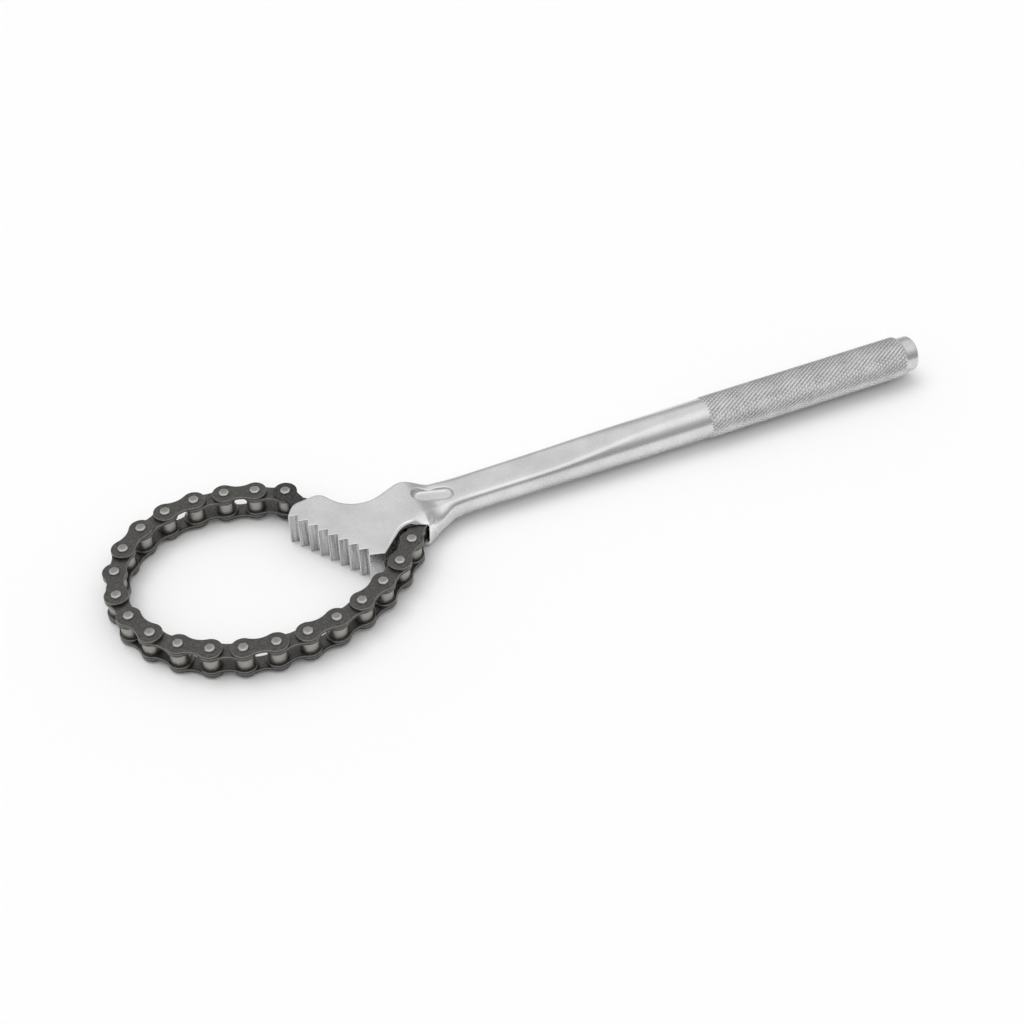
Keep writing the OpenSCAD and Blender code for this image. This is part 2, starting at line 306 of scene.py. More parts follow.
def rounded(a, b, c, r, steps=10):
    """Points of a rounded corner at b between its neighbours a and c."""
    u = (a - b) / np.linalg.norm(a - b)
    v = (c - b) / np.linalg.norm(c - b)
    half = math.acos(u @ v) / 2
    centre = b + (u + v) / np.linalg.norm(u + v) * r / math.sin(half)
    start = np.angle(complex(*(b + u * r / math.tan(half) - centre)))
    sweep = np.angle(complex(*(b + v * r / math.tan(half) - centre))) - start
    sweep = (sweep + math.pi) % (2 * math.pi) - math.pi
    turns = start + sweep * np.linspace(0, 1, steps + 1)
    return centre + r * np.stack([np.cos(turns), np.sin(turns)], 1)


def head_outline():
    """The head seen from above: eight saw teeth, then round the heel, the recess, the neck and the back."""
    flank = TOOTH_PITCH * math.sin(math.radians(TOOTH_LINE - STEP_TURN))
    flank /= math.sin(math.radians(FLANK_TURN - STEP_TURN))
    points = []
    for i in range(TOOTH_COUNT):
        tip = TOE + i * TOOTH_PITCH * toward(TOOTH_LINE)
        points += [tip, tip + flank * toward(FLANK_TURN)]
    tooth_end = TOE + TOOTH_COUNT * TOOTH_PITCH * toward(TOOTH_LINE)
    points.append(tooth_end)
    places = [tooth_end] + [np.array(place) for place, _ in HEAD_CORNERS] + [TOE]
    for i, (_, r) in enumerate(HEAD_CORNERS, 1):
        points += list(rounded(places[i - 1], places[i], places[i + 1], r)) if r else [places[i]]
    return np.array(points) + [NECK_X, 0]


def outline_distance(points, x, y):
    """Signed distance in the plane to a closed outline, negative inside it."""
    least = np.inf
    inside = False
    for a, b in zip(points, np.roll(points, -1, axis=0)):
        edge = b - a
        along = np.clip(((x - a[0]) * edge[0] + (y - a[1]) * edge[1]) / (edge @ edge), 0, 1)
        least = np.minimum(least, (x - a[0] - along * edge[0]) ** 2 + (y - a[1] - along * edge[1]) ** 2)
        crosses = (a[1] > y) != (b[1] > y)
        inside = inside ^ crosses & (x < a[0] + (y - a[1]) * edge[0] / (edge[1] or 1))
    return np.where(inside, -1, 1) * np.sqrt(least)


def heel_slot():
    """Plan of the heel's slot: the straight part between the two limits of the first link's swing."""
    centre = np.array([NECK_X, 0]) + HEEL_PIN
    swing_from, swing_to = HEEL_SWING
    first = centre + POCKET_R * toward(swing_from - 90)
    last = centre + HEEL_WAIST_SIDE * toward(swing_to + 90)
    return np.array([first, first + SLOT_FAR * toward(swing_from), last + SLOT_FAR * toward(swing_to), last])


def toe_slot():
    """Plan of the toe's slot, drawn along the hook link from the hook pin."""
    start = np.array([0, -TOE_PLAIN_SIDE])
    wide = np.array([TOE_DEEP, TOE_HOOK_SIDE])
    points = [start, (TOE_SLANT[0], -TOE_PLAIN_SIDE), (TOE_DEEP, TOE_SLANT[1]), wide]
    points += [wide + SLOT_FAR * toward(TOE_MOUTH[0]), (-SLOT_FAR, 0)]
    points.append(start + SLOT_FAR * toward(TOE_MOUTH[1]))
    along, across = toward(HOOK_TURN + 180), toward(HOOK_TURN + 270)
    centre = np.array([NECK_X, 0]) + HOOK_PIN
    return np.array([centre + p[0] * along + p[1] * across for p in points])


HEAD_OUTLINE = head_outline()
HEEL_SLOT = heel_slot()
TOE_SLOT = toe_slot()


def tooth_depth(x, y):
    """Distance behind the line of the tooth tips."""
    across = toward(TOOTH_LINE + 90)
    return (x - NECK_X - TOE[0]) * across[0] + (y - TOE[1]) * across[1]


def edge_rounding(x, y, z):
    """Breadth, height and power of the head's rounded edges.

    They are crisp at the teeth and round at the neck. The lip is the upper edge over the mouth of the heel's
    slot, a broad slant, and the flare is its way into the neck.
    """
    along = x - NECK_X
    heel_side = smooth_step(*HEEL_SIDE, y)
    upper = smooth_step(*UPPER_HALF, z)
    lip = smooth_step(*LIP_BAND, along) * smooth_step(*LIP_END, along) * heel_side * upper
    flare = smooth_step(*FLARE_BAND, along) * heel_side * upper
    recess = PLAIN_EDGE + RECESS_ROUNDER * smooth_step(*RECESS_BAND, along) * heel_side
    neck = NECK_EDGE - NECK_BELOW_SHARPER * heel_side * (1 - upper)
    broad = recess + (neck - recess) * smooth_step(*NECK_BAND, along) + LIP_BROADER * lip
    broad = TOOTH_EDGE + (broad - TOOTH_EDGE) * smooth_step(*TOOTH_BAND, tooth_depth(x, y))
    high = np.minimum(broad, EDGE_HEIGHT - LIP_LOWER * lip + FLARE_HIGHER * flare)
    return broad, high, ROUND_POWER - LIP_FLATTER * lip


def dimple(x, y, z):
    """Distance to the oval hollow pressed into the neck, which has a level floor and leaning walls."""
    along, across = toward(DIMPLE_TURN), toward(DIMPLE_TURN + 90)
    dx, dy = x - NECK_X - DIMPLE_AT[0], y - DIMPLE_AT[1]
    u, v = dx * along[0] + dy * along[1], dx * across[0] + dy * across[1]
    rise = np.abs(z) - NECK_TOP + DIMPLE_DEPTH
    wall = np.hypot(np.maximum(np.abs(u) - DIMPLE_HALF, 0), v) - DIMPLE_R - DIMPLE_LEAN * rise
    return smooth_max(wall, -rise, DIMPLE_FLOOR_BLEND)


def head_plate(x, y, z):
    """The head and neck, which drop by a ramp to the height of the shank's flats and run out into them."""
    height = HEAD_TOP + (NECK_TOP - PLATE_SUNK - HEAD_TOP) * smooth_step(*RAMP, x - NECK_X)
    height = height - RUN_OUT_DROP * smooth_step(*RUN_OUT, x - NECK_X)
    broad, high, power = edge_rounding(x, y, z)
    side = (outline_distance(HEAD_OUTLINE, x, y) + broad) * high / broad
    over = np.abs(z) - height + high
    corner = (np.maximum(side, 0) ** power + np.maximum(over, 0) ** power) ** (1 / power)
    return np.minimum(np.maximum(side, over), 0) + corner - high


def taper(x):
    """What the round bar's radius gains from the neck to x."""
    return (SHANK_R - NECK_R) * (x - NECK_X) / (GRIP_START - NECK_X)


def shank(x, y, z):
    """The tapered round bar with its flats, which run out towards the grip."""
    bar = np.hypot(y, z) - NECK_R - taper(x)
    flat = sum(np.interp(x + shift, FLAT_PLACES, FLAT_HEIGHTS) for shift in FLAT_SHIFTS) / len(FLAT_SHIFTS)
    bar = smooth_max(bar, np.abs(z) - flat, FLAT_BLEND)
    return smooth_max(bar, NECK_X + SHANK_START - x, SHANK_START_BLEND)


def forging(x, y, z):
    """Distance-like field of the head, neck and shank before drilling, negative inside the metal."""
    metal = -smooth_max(-head_plate(x, y, z), -shank(x, y, z), NECK_BLEND)
    metal = smooth_max(metal, -dimple(x, y, z), DIMPLE_RIM_BLEND)
    pocket = np.hypot(x - NECK_X - HEEL_PIN[0], y - HEEL_PIN[1]) - POCKET_R
    pocket = np.minimum(pocket, outline_distance(HEEL_SLOT, x, y))
    slot = smooth_max(pocket, np.abs(z) - HEEL_SLOT_TOP, HEEL_CEILING_BLEND)
    metal = smooth_max(metal, -slot, HEEL_RIM_BLEND)
    mouth = outline_distance(TOE_SLOT, x, y)
    return smooth_max(metal, -np.maximum(mouth, np.abs(z) - TOE_SLOT_TOP), TOE_RIM_BLEND)


def handle_field(x, y, z):
    """The forging with its two pin holes, which are blind at the top."""
    metal = forging(x, y, z)
    for place, r, top in ((HEEL_PIN, ANCHOR_R, ANCHOR_TOP), (HOOK_PIN, HOOK_HOLE_R, HOOK_HOLE_TOP)):
        bore = np.hypot(x - NECK_X - place[0], y - place[1]) - r
        metal = np.maximum(metal, -np.maximum(bore, z - top))
    return metal


def slope(field, points, step=0.02):
    """Gradient of a field at points."""
    sides = []
    for axis in range(3):
        shift = np.zeros(3)
        shift[axis] = step
        sides.append((field(*(points + shift).T) - field(*(points - shift).T)) / (2 * step))
    return np.stack(sides, 1)


def skin(field, xs, ys, zs):
    """Points and quads of the surface where a field is zero, on a grid whose steps may be uneven."""
    axes = (xs, ys, zs)
    value = field(*np.meshgrid(*axes, indexing="ij", sparse=True))
    inside = value < 0
    cells = [n - 1 for n in value.shape]
    corners = [(i, j, k) for i in (0, 1) for j in (0, 1) for k in (0, 1)]

    def at(grid, corner):
        return grid[tuple(slice(c, c + n) for c, n in zip(corner, cells))]

    filled = sum(at(inside, corner).astype(int) for corner in corners)
    crossed = (filled > 0) & (filled < len(corners))
    number = np.full(cells, -1)
    number[crossed] = np.arange(crossed.sum())
    cell = np.argwhere(crossed)
    total = np.zeros((len(cell), 3))
    hits = np.zeros(len(cell))
    for a in corners:
        for axis in (n for n in range(3) if a[n] == 0):
            b = tuple(1 if n == axis else c for n, c in enumerate(a))
            low, high = at(value, a)[crossed], at(value, b)[crossed]
            cut = (low < 0) != (high < 0)
            share = np.where(cut, low / np.where(cut, low - high, 1), 0)
            place = np.stack([axes[n][cell[:, n] + a[n]] for n in range(3)], 1)
            place[:, axis] += share * (axes[axis][cell[:, axis] + 1] - axes[axis][cell[:, axis]])
            total += place * cut[:, None]
            hits += cut
    points = total / hits[:, None]
    for _ in range(SETTLE_ROUNDS):
        grad = slope(field, points)
        step = field(*points.T) / np.maximum((grad * grad).sum(1), LEAST_SLOPE)
        points = points - np.clip(step, -SETTLE_LIMIT, SETTLE_LIMIT)[:, None] * grad
    quads = []
    for axis in range(3):
        order = [(axis + n) % 3 for n in range(3)]
        along, around = inside.transpose(order), number.transpose(order)
        i, j, k = np.nonzero(along[:-1, 1:-1, 1:-1] != along[1:, 1:-1, 1:-1])
        sides = [around[i, j, k], around[i, j + 1, k], around[i, j + 1, k + 1], around[i, j, k + 1]]
        quad = np.stack(sides, 1)
        quads.append(np.where(along[i, j + 1, k + 1][:, None], quad, quad[:, ::-1]))
    return points, np.concatenate(quads)


def wear_and_rim_highlight(points, normals):
    """Wear of sharp edges, and a painted highlight: a bright line along the upper rim over the heel's slot.
    """
    depth = forging(*(points - WEAR_REACH * normals).T) + WEAR_REACH
    wear_and_highlight = np.clip(depth / WEAR_REACH * WEAR_GAIN, 0, 1)
    along, lean = points[:, 0] - NECK_X, normals[:, 2]
    # The rim's bright line is a painted highlight, laid where the rim's faces lean between two slants
    rim_highlight = smooth_step(*RIM_HIGHLIGHT_START, along) * smooth_step(*RIM_HIGHLIGHT_END, along) * smooth_step(*RIM_HIGHLIGHT_SIDE, points[:, 1])
    return np.maximum(wear_and_highlight, rim_highlight * smooth_step(*RIM_HIGHLIGHT_UPPER_LEAN, lean) * smooth_step(*RIM_HIGHLIGHT_LOWER_LEAN, lean))


def milling(points, normals):
    """Where the teeth are milled: their upright faces, up to the end of their row."""
    row = TOOTH_COUNT * TOOTH_PITCH
    run = (points[:, :2] - TOE - [NECK_X, 0]) @ toward(TOOTH_LINE)
    deep = smooth_step(*MILLED_DEPTH, tooth_depth(points[:, 0], points[:, 1]))
    upright = smooth_step(*MILLED_LEAN, np.abs(normals[:, 2]))
    return deep * upright * smooth_step(row + MILLED_PAST, row - MILLED_SHORT, run)


def head_and_shank():
    """Points, quads, edge wear with the painted rim highlight, and milling of the skin from the toe to the
    start of the grip.
    """
    fine = np.arange(SKIN_START, FINE_END, FINE_STEP)
    middle = np.arange(fine[-1] + MIDDLE_STEP, MIDDLE_END, MIDDLE_STEP)
    coarse = np.arange(middle[-1] + COARSE_STEP, SKIN_END + COARSE_STEP, COARSE_STEP)
    xs = np.concatenate([fine, middle, coarse])
    points, quads = skin(handle_field, xs, np.arange(*SKIN_Y, FINE_STEP), np.arange(*SKIN_Z, FINE_STEP))
    normals = slope(forging, points)
    normals /= np.maximum(np.linalg.norm(normals, axis=1), LEAST_LENGTH)[:, None]
    milled = milling(points, normals)
    return points, quads, wear_and_rim_highlight(points, normals) * (1 - MILLED_LESS_WEAR * milled), milled


def knurl(row, column):
    """Depth of the diamond knurl, from 0 on a flat crest to 1 in a groove, on the lattice of its grid.

    The grooves of one hand are deeper, and those of the other come and go along the grip.
    """
    turn = 2 * math.pi * column / KNURL_COLUMNS
    wander = 1
    for waves, drift, phase in KNURL_WANDER:
        wander = wander * np.sin(waves * turn + drift * row + phase)
    depth = 0
    for way, strength, steady, unsteady in KNURL_HANDS:
        wave = np.abs(((column + way * row) / KNURL_STEPS) % 1 - 0.5) * 2
        groove = np.clip((wave - KNURL_FLAT) / (1 - KNURL_FLAT), 0, 1)
        depth = np.maximum(depth, strength * (steady + unsteady * wander) * groove)
    return depth


def knurl_share(x):
    """How fully the grip is knurled at x: from 0 to 1, running in and out at the grip's ends."""
    run_in = smooth_step(GRIP_START - KNURL_LEAD, GRIP_START + KNURL_RUN_IN, x)
    return run_in * smooth_step(GRIP_END + KNURL_TRAIL, GRIP_END - KNURL_RUN_OUT, x)


def grip_rows():
    """Places of the rings from the skin's end along the grip, each with its row in the knurl."""
    row_step = KNURL_RISE / KNURL_STEPS
    count = int((GRIP_END - GRIP_START) / row_step)
    plain = np.linspace(SKIN_END, GRIP_START - KNURL_LEAD, PLAIN_RINGS)
    return [(x, 0) for x in plain] + [(GRIP_START + n * row_step, n) for n in range(count + 1)]


def grip_crest(x):
    """Radius of the grip at its crests, and of the bar before it."""
    rise = (GRIP_R - SHANK_R) * smooth_step(GRIP_START, GRIP_START + GRIP_RISE, x)
    return min(NECK_R + taper(x), SHANK_R) + rise - max(0, x - GRIP_END + GRIP_BEVEL)


def butt_profile():
    """Places and radii from the end of the grip to the middle of the butt's face."""
    profile = [(GRIP_END, GRIP_R - GRIP_BEVEL)]
    profile += [(GRIP_END + along, BUTT_R + rise) for along, rise in BUTT_ROOT]
    profile += [(x, BUTT_R) for x in BUTT_RINGS]
    face_r = BUTT_R - BUTT_CORNER
    for t in np.linspace(0, math.pi / 2, BUTT_CORNER_POINTS):
        profile.append((-BUTT_CORNER + BUTT_CORNER * math.sin(t), face_r + BUTT_CORNER * math.cos(t)))
    return profile + [(0.0, BUTT_FACE_RING), (0.0, AXIS)]


def ring(x, radius):
    """Points around the handle's axis at x."""
    turns = 2 * math.pi * np.arange(KNURL_COLUMNS) / KNURL_COLUMNS
    return np.stack([np.full(KNURL_COLUMNS, x), radius * np.cos(turns), radius * np.sin(turns)], 1)


def ring_quads(count):
    """Quads between neighbouring rings."""
    here = np.arange(KNURL_COLUMNS)
    beside = (here + 1) % KNURL_COLUMNS
    quads = []
    for k in range(count - 1):
        near, far = k * KNURL_COLUMNS, (k + 1) * KNURL_COLUMNS
        quads.append(np.stack([near + here, near + beside, far + beside, far + here], 1))
    return np.concatenate(quads)


def grip_and_butt():
    """Points, quads, edge wear and dulling of the shank's end, the knurled grip and the plain butt."""
    clean = np.zeros(KNURL_COLUMNS)
    points, wear_and_highlight, dulling = [], [], []
    for n in range(TUCKED_RINGS):
        x = SKIN_END - TUCKED_RINGS + n
        points.append(ring(x, NECK_R + taper(x) - TUCK))
        wear_and_highlight.append(clean)
        dulling.append(clean)
    for x, row in grip_rows():
        share = knurl_share(x)
        groove = share * knurl(row, np.arange(KNURL_COLUMNS))
        points.append(ring(x, grip_crest(x) - KNURL_DEPTH * groove))
        wear_and_highlight.append(CREST_WEAR * share * np.clip(1 - CREST_SHARE * groove, 0, 1))
        # Dulling here is grime over the grip and butt, and darkening that grows with groove depth
        dulling.append(GRIP_GRIME * share + GROOVE_DARKENING * groove)
    for x, radius in butt_profile():
        points.append(ring(x, radius))
        wear_and_highlight.append(clean + (CORNER_WEAR if -BUTT_CORNER < x < -CORNER_WEAR_END else 0))
        dulling.append(clean + BUTT_GRIME)
    return np.concatenate(points), ring_quads(len(points)), np.concatenate(wear_and_highlight), np.concatenate(dulling)


def solid(name, parts, material, sharp=SHARP_ANGLE):
    """A mesh from parts, smooth up to an angle between faces.

    Each part has points, faces, edge wear with any painted highlight, and perhaps dulling by milling, grime
    or darker grooves.
    """
    mesh = bpy.data.meshes.new(name)
    points, faces, shift = [], [], 0
    for part in parts:
        points.append(np.asarray(part[0], float))
        faces += [[int(i) + shift for i in face] for face in part[1]]
        shift += len(part[0])
    mesh.from_pydata((np.concatenate(points) * MM).tolist(), [], faces)
    # Edge wear and painted highlights share one attribute, and dulling has another
    for column, label in enumerate(("wear_and_highlight", "dulled"), 2):
        if column < len(parts[0]):
            values = np.concatenate([np.asarray(part[column], float) for part in parts])
            mesh.attributes.new(label, "FLOAT", "POINT").data.foreach_set("value", values)
    mesh.polygons.foreach_set("use_smooth", [True] * len(mesh.polygons))
    mesh.set_sharp_from_angle(angle=math.radians(sharp))
    mesh.materials.append(material)
    mesh.update()
    return mesh


def place_piece(name, mesh, matrix, body, node):
    """Puts a mesh in place as an object that rides on a body and stands for a CAD node."""
    piece = bpy.data.objects.new(name, mesh)
    bpy.context.scene.collection.objects.link(piece)
    piece.matrix_world = matrix
    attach(piece, body)
    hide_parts(node)
    return piece


def plate_outline():
    """Waisted link plate from a pin at the origin to the next along X."""
    half = PITCH / 2
    cut_r = (half ** 2 + WAIST ** 2 - PLATE_R ** 2) / (2 * (PLATE_R - WAIST))
    meet = math.atan2(WAIST + cut_r, half)
    right = np.linspace(-(math.pi - meet), math.pi - meet, PLATE_END_POINTS)
    top = np.linspace(-meet, meet - math.pi, PLATE_WAIST_POINTS)[1:-1]
    points = [(PITCH + PLATE_R * math.cos(t), PLATE_R * math.sin(t)) for t in right]
    points += [(half + cut_r * math.cos(t), WAIST + cut_r + cut_r * math.sin(t)) for t in top]
    points += [(PITCH - x, -y) for x, y in points]
    return np.array(points)


def circle(centre, r, steps=32):
    """Points of a circle about a place on X, in order."""
    turns = 2 * math.pi * np.arange(steps) / steps
    return np.stack([centre + r * np.cos(turns), r * np.sin(turns)], 1)


def inset(loop, distance):
    """A closed loop moved to its left by a distance."""
    way = np.roll(loop, -1, axis=0) - np.roll(loop, 1, axis=0)
    way /= np.linalg.norm(way, axis=1)[:, None]
    return loop + distance * np.stack([-way[:, 1], way[:, 0]], 1)


def plate(outline, holes, low, high):
    """Points, faces and edge wear of a flat plate with round holes and rounded edges, whose edges also carry
    a painted highlight.
    """
    loops = [outline] + [hole[::-1] for hole in holes]
    turns = np.linspace(0, math.pi / 2, PLATE_EDGE_STEPS)
    curve = [(PLATE_EDGE * (1 - math.cos(t)), PLATE_EDGE * (1 - math.sin(t))) for t in turns]
    rings = [(step_in, low + rise) for step_in, rise in curve[::-1]]
    rings += [(step_in, high - rise) for step_in, rise in curve]
    points, faces, wear_and_highlight, caps = [], [], [], {0: [], len(rings) - 1: []}
    for loop in loops:
        n = len(loop)
        start = len(points)
        for level, (step_in, z) in enumerate(rings):
            moved = inset(loop, step_in)
            if level in caps:
                caps[level].append((np.arange(n) + len(points), moved))
            points += [(x, y, z) for x, y in moved]
            # The middle of each rounded edge gets wear and a painted highlight
            on_edge = abs(step_in - PLATE_EDGE / 2) < PLATE_EDGE * PLATE_BRIGHT_EDGE_SHARE
            wear_and_highlight += [PLATE_EDGE_WEAR_AND_HIGHLIGHT if on_edge else PLATE_FACE_WEAR] * n
        for level in range(len(rings) - 1):
            for i in range(n):
                a, b = start + level * n + i, start + level * n + (i + 1) % n
                faces.append((a, b, b + n, a + n))
    for level, groups in caps.items():
        order = np.concatenate([index for index, _ in groups])
        for tri in tessellate_polygon([[Vector((x, y, 0)) for x, y in loop] for _, loop in groups]):
            corners = [int(order[i]) for i in tri]
            a, b, c = (np.array(points[i][:2]) for i in corners)
            upward = np.cross(b - a, c - a) > 0
            faces.append(corners if upward == (level > 0) else corners[::-1])
    return points, faces, wear_and_highlight


def plate_pair(gap, hole_r):
    """Two plates, their inner faces a gap apart, with a hole at each pin."""
    outline = plate_outline()
    holes = [circle(x, hole_r) for x in LINK_ENDS]
    return [plate(outline, holes, low, low + PLATE_T) for low in (gap / 2, -gap / 2 - PLATE_T)]


def lathe(profile, wear_and_highlight, at=0.0, steps=40, swell=0.0):
    """Points, faces and edge wear of a body of revolution about Z.

    The profile is closed or goes from axis to axis. A swell makes the body slightly six-sided.
    """
    turns = 2 * math.pi * np.arange(steps) / steps
    grow = 1 + swell * np.cos(RIVET_SIDES * turns)
    points = []
    for r, z in profile:
        points += [(at + r * g * math.cos(t), r * g * math.sin(t), z) for t, g in zip(turns, grow)]
    rows = len(profile)
    closed = profile[0][0] > AXIS
    faces = []
    for k in range(rows if closed else rows - 1):
        for i in range(steps):
            a, b = k * steps + i, k * steps + (i + 1) % steps
            c = ((k + 1) % rows) * steps
            faces.append((a, b, c + (i + 1) % steps, c + i))
    return points, faces, np.repeat(wear_and_highlight, steps)


def tube(outer, bore, half, edge, at=0.0):
    """A round tube about Z with bevelled outer edges."""
    part = edge * TUBE_EDGE_SHARE
    lower = [(bore, -half), (outer - edge, -half), (outer - part, -half + part), (outer, -half + edge)]
    return lathe(lower + [(r, -z) for r, z in lower[::-1]], TUBE_WEAR, at)


def rivet(at=0.0):
    """A link pin whose ends are swaged to flat, slightly six-sided heads."""
    end = RIVET_END + [(PIN_R - PIN_PLAY, RIVET_END[-1][1])]
    lower = [(r, -PIN_HALF + drop) for r, drop in end]
    profile = lower + [(r, -z) for r, z in lower[::-1]]
    return lathe(profile, RIVET_WEAR + RIVET_WEAR[::-1], at, swell=RIVET_SWELL)


def anchor_pin():
    """The plain pin in the heel, driven into its blind hole from below."""
    r, top = ANCHOR_R - SNUG, ANCHOR_TOP - SNUG
    profile = [(AXIS, -HEAD_TOP), (ANCHOR_R - ANCHOR_BEVEL, -HEAD_TOP), (r, ANCHOR_BEVEL - HEAD_TOP)]
    return lathe(profile + [(r, top), (AXIS, top)], ANCHOR_WEAR)


def texture(nodes, links, coords, kind, stretch=(1, 1, 1), **values):
    """A texture node in the object's own space, stretched along its axes."""
    mapping = nodes.new("ShaderNodeMapping")
    mapping.inputs["Scale"].default_value = stretch
    links.new(coords.outputs["Object"], mapping.inputs["Vector"])
    node = nodes.new(kind)
    for name, value in values.items():
        node.inputs[name].default_value = value
    links.new(mapping.outputs["Vector"], node.inputs["Vector"])
    return node


def ramp(nodes, links, source, stops):
    """Grey from a value, by stops of place and grey."""
    node = nodes.new("ShaderNodeValToRGB")
    while len(node.color_ramp.elements) < len(stops):
        node.color_ramp.elements.new(0.5)
    for element, (place, grey) in zip(node.color_ramp.elements, stops):
        element.position = place
        element.color = (grey, grey, grey, 1)
    links.new(source, node.inputs["Fac"])
    return node.outputs["Color"]


def mix(nodes, links, share, a, b, blend="MIX"):
    """Colour mixed from a to b by a share, each a socket or a value."""
    node = nodes.new("ShaderNodeMix")
    node.data_type = "RGBA"
    node.blend_type = blend
    for socket, value in ((node.inputs["Factor"], share), (node.inputs[MIX_A], a), (node.inputs[MIX_B], b)):
        if isinstance(value, bpy.types.NodeSocket):
            links.new(value, socket)
        else:
            socket.default_value = (*value, 1) if np.ndim(value) else value
    return node.outputs[MIX_RESULT]


def attribute(nodes, name):
    """Value that the mesh carries at its points."""
    node = nodes.new("ShaderNodeAttribute")
    node.attribute_name = name
    return node.outputs["Fac"]


def metal(name, dull, bright, worn_and_highlight, metallic, rough, grain, bump):
    """A worn metal: fine grain, broad mottling, streaks where it is dulled, and brighter edges from wear and
    painted highlights.
    """
    material = bpy.data.materials.new(name)
    material.use_nodes = True
    nodes, links = material.node_tree.nodes, material.node_tree.links
    shader = nodes["Principled BSDF"]
    shader.inputs["Metallic"].default_value = metallic
    coords = nodes.new("ShaderNodeTexCoord")
    fine = texture(nodes, links, coords, "ShaderNodeTexNoise", Scale=grain, Detail=4, Roughness=0.65)
    broad = texture(nodes, links, coords, "ShaderNodeTexNoise", Scale=grain / PATCH_SIZE, Detail=3)
    upright = texture(nodes, links, coords, "ShaderNodeTexNoise", STREAK_STRETCH, Scale=grain, Detail=3)
    spots = ramp(nodes, links, fine.outputs["Fac"], SPOTS)
    patches = ramp(nodes, links, broad.outputs["Fac"], PATCHES)
    streaks = ramp(nodes, links, upright.outputs["Fac"], STREAKS)
    colour = mix(nodes, links, spots, dull, bright)
    colour = mix(nodes, links, 1.0, colour, patches, "MULTIPLY")
    dulled = mix(nodes, links, 1.0, colour, streaks, "MULTIPLY")
    colour = mix(nodes, links, attribute(nodes, "dulled"), colour, dulled)
    # Edge wear and painted highlights both take the lighter worn colour
    colour = mix(nodes, links, attribute(nodes, "wear_and_highlight"), colour, worn_and_highlight)
    links.new(colour, shader.inputs["Base Color"])
    sheen = [(SHEEN_BAND[0], rough + SHEEN_CHANGE), (SHEEN_BAND[1], rough - SHEEN_CHANGE)]
    links.new(ramp(nodes, links, fine.outputs["Fac"], sheen), shader.inputs["Roughness"])
    dents = nodes.new("ShaderNodeBump")
    dents.inputs["Strength"].default_value = bump
    dents.inputs["Distance"].default_value = DENT_DEPTH * MM
    links.new(fine.outputs["Fac"], dents.inputs["Height"])
    links.new(dents.outputs["Normal"], shader.inputs["Normal"])
    return material


def surroundings(world):
    """White studio for the metal to reflect: dim near the horizon and in front, with a soft box overhead."""
    world.use_nodes = True
    nodes, links = world.node_tree.nodes, world.node_tree.links
    coords = nodes.new("ShaderNodeTexCoord")
    split = nodes.new("ShaderNodeSeparateXYZ")
    links.new(coords.outputs["Generated"], split.inputs["Vector"])

    def along(axis, stops):
        unit = nodes.new("ShaderNodeMapRange")
        unit.inputs["From Min"].default_value = -1
        links.new(split.outputs[axis], unit.inputs["Value"])
        unit_stops = [((place + 1) / 2, grey) for place, grey in stops]
        return ramp(nodes, links, unit.outputs["Result"], unit_stops)

    glow = mix(nodes, links, 1.0, along("Z", SKY), along("Y", WALL), "MULTIPLY")
    aim = nodes.new("ShaderNodeVectorMath")
    aim.operation = "DOT_PRODUCT"
    aim.inputs[1].default_value = BOX_WAY
    links.new(coords.outputs["Generated"], aim.inputs[0])
    glow = mix(nodes, links, 1.0, glow, ramp(nodes, links, aim.outputs["Value"], BOX), "ADD")
    links.new(glow, nodes["Background"].inputs["Color"])


def pale_floor():
    """Material of the floor: matt white paper."""
    material = bpy.data.materials.new("pale_floor")
    material.use_nodes = True
    nodes, links = material.node_tree.nodes, material.node_tree.links
    shader = nodes["Principled BSDF"]
    coords = nodes.new("ShaderNodeTexCoord")
    cloud = texture(nodes, links, coords, "ShaderNodeTexNoise", Scale=3, Detail=2)
    links.new(ramp(nodes, links, cloud.outputs["Fac"], PAPER), shader.inputs["Base Color"])
    shader.inputs["Roughness"].default_value = 0.9
    shader.inputs["Specular IOR Level"].default_value = 0.1
    return material


def studio():
    """Surroundings, floor and a soft key light."""
    scene = bpy.context.scene
    scene.view_settings.view_transform = "Standard"
    scene.world = bpy.data.worlds.new("studio")
    surroundings(scene.world)

    mesh = bpy.data.meshes.new("floor")
    corners = [(x * FLOOR_HALF, y * FLOOR_HALF, 0) for x, y in ((-1, -1), (1, -1), (1, 1), (-1, 1))]
    mesh.from_pydata(corners, [], [(0, 1, 2, 3)])
    mesh.materials.append(pale_floor())
    floor = bpy.data.objects.new("floor", mesh)
    scene.collection.objects.link(floor)
    floor.location = FLOOR_AT
    floor.rotation_euler = (0, math.atan(FLOOR_SLOPE), 0)

    lamp = bpy.data.lights.new("key", "SUN")
    lamp.angle = math.radians(KEY_SPREAD)
    lamp.energy = KEY_POWER
    light = bpy.data.objects.new("key", lamp)
    scene.collection.objects.link(light)
    light.visible_glossy = False
    light.rotation_euler = KEY_WAY.to_track_quat("-Z", "Y").to_euler()


def camera():
    """The photograph's view."""
    lens = bpy.data.cameras.new("camera")
    lens.sensor_width = SENSOR
    lens.lens = SENSOR * FOCAL_PIXELS / PICTURE_PIXELS
    lens.clip_start = CLIP_START
    view = bpy.data.objects.new("camera", lens)
    bpy.context.scene.collection.objects.link(view)
    view.location = CAMERA_AT
    view.rotation_euler = CAMERA_WAY.to_track_quat("-Z", "Y").to_euler()
    bpy.context.scene.camera = view


